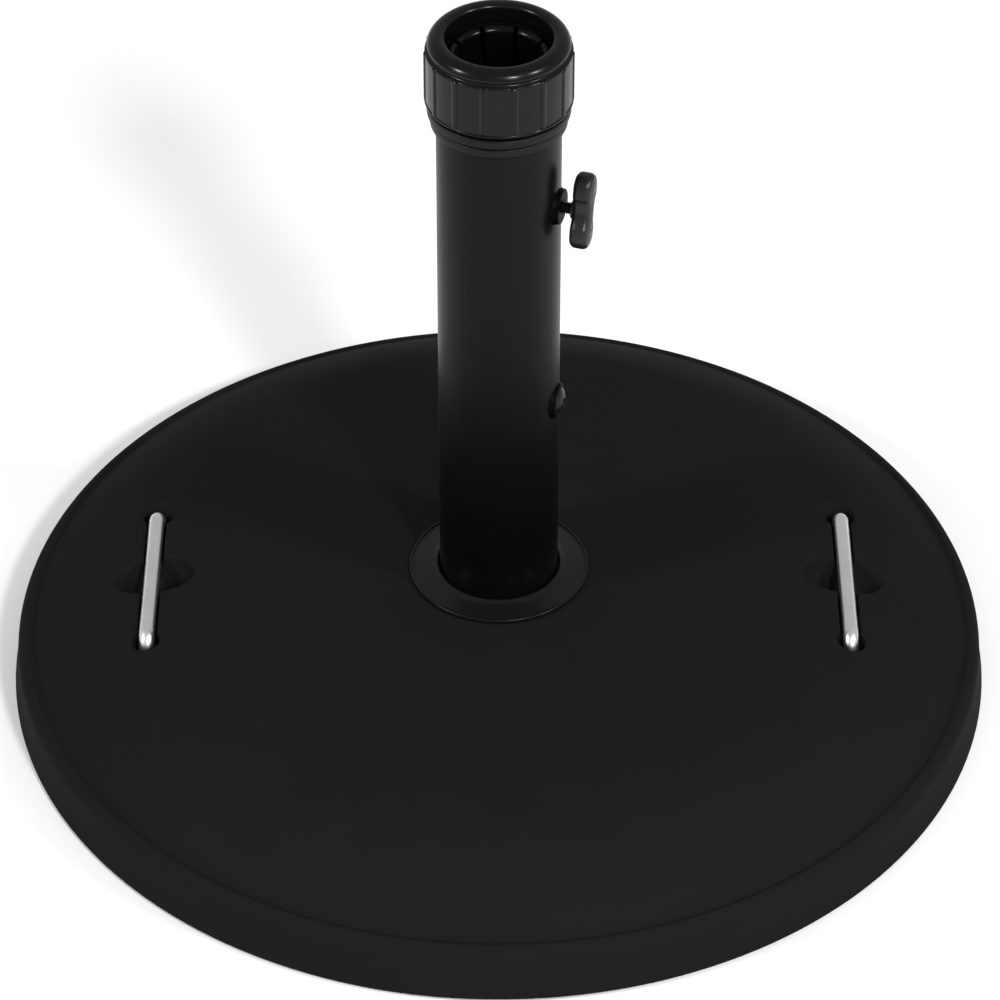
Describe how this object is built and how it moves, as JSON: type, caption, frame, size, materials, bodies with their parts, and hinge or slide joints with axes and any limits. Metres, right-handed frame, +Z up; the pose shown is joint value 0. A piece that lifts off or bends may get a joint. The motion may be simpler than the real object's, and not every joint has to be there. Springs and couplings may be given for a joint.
{
  "type": "parasol base",
  "caption": "Round weighted parasol base with an upright pole tube, ribbed screw cap, side clamp knob and two pull-up carrying handles.",
  "frame": {"origin": "on the floor under the rubber feet, on the pole's axis", "axes": "+Z up along the pole, +X through the right-hand carrying handle, -Y towards the person in front"},
  "size_m": [0.5, 0.5, 0.3863],
  "materials": {
    "cover_plastic": "satin",
    "ballast": "matte",
    "pan_plastic": "matte",
    "foot_rubber": "matte",
    "zinc_steel": "satin",
    "plug_plastic": "matte",
    "tube_paint": "satin",
    "rebar_steel": "matte",
    "handle_steel": "satin",
    "collar_plastic": "satin",
    "boss_paint": "satin",
    "screw_black": "gloss",
    "knob_plastic": "satin",
    "cap_plastic": "gloss",
    "inner_plastic": "satin",
    "ring_plastic": "satin"
  },
  "bodies": {
    "base": {"weight_cover": "cover_plastic", "concrete_ballast": "ballast", "bottom_pan": "pan_plastic", "rubber_feet": "foot_rubber", "pan_screws": "zinc_steel", "screw_plugs": "plug_plastic", "main_tube": "tube_paint", "tube_foot_plate": "rebar_steel", "anchor_bars": "rebar_steel", "tube_plug": "inner_plastic", "pole_guide": "inner_plastic", "upper_boss": "boss_paint", "lower_boss": "boss_paint", "lower_plug_screw": "screw_black", "head_bush": "inner_plastic", "guide_sleeves_left": "plug_plastic", "guide_sleeves_right": "plug_plastic"},
    "collar": {"collar_ring": "collar_plastic"},
    "collet": {"split_collet": "cap_plastic", "slip_ring": "ring_plastic"},
    "cap": {"screw_cap": "cap_plastic"},
    "pad": {"pressure_pad": "inner_plastic"},
    "clamp_knob": {"clamp_stud": "screw_black", "wing_knob": "knob_plastic"},
    "handle_l": {"handle_left": "handle_steel", "handle_stops_left": "zinc_steel"},
    "handle_r": {"handle_right": "handle_steel", "handle_stops_right": "zinc_steel"}
  },
  "joints": [
    {"name": "handle_left_lift", "type": "slide", "parent": "base", "child": "handle_l", "axis": [0, 0, 1], "range_m": [0, 0.025]},
    {"name": "handle_right_lift", "type": "slide", "parent": "base", "child": "handle_r", "axis": [0, 0, 1], "range_m": [0, 0.025]},
    {"name": "collar_lift", "type": "slide", "parent": "base", "child": "collar", "axis": [0, 0, 1], "range_m": [0, 0.095]},
    {"name": "collet_rise", "type": "slide", "parent": "base", "child": "collet", "axis": [0, 0, 1], "range_m": [-0.0001, 0.0091]},
    {"name": "cap_turn", "type": "hinge", "parent": "collet", "child": "cap", "pos_m": [0, 0, 0.365], "axis": [0, 0, 1], "range_deg": [0, 1080]},
    {"name": "pad_travel", "type": "slide", "parent": "base", "child": "pad", "axis": [0.9563, -0.2924, 0], "range_m": [-0.0041, 0.0026]},
    {"name": "knob_turn", "type": "hinge", "parent": "pad", "child": "clamp_knob", "pos_m": [0, 0, 0.2945], "axis": [0.9563, -0.2924, 0], "range_deg": [-1440, 900]}
  ],
  "couplings": [
    {"joint": "collet_rise", "follows": "cap_turn", "m_per_rad": 0.00047746},
    {"joint": "pad_travel", "follows": "knob_turn", "m_per_rad": 0.00015915}
  ]
}
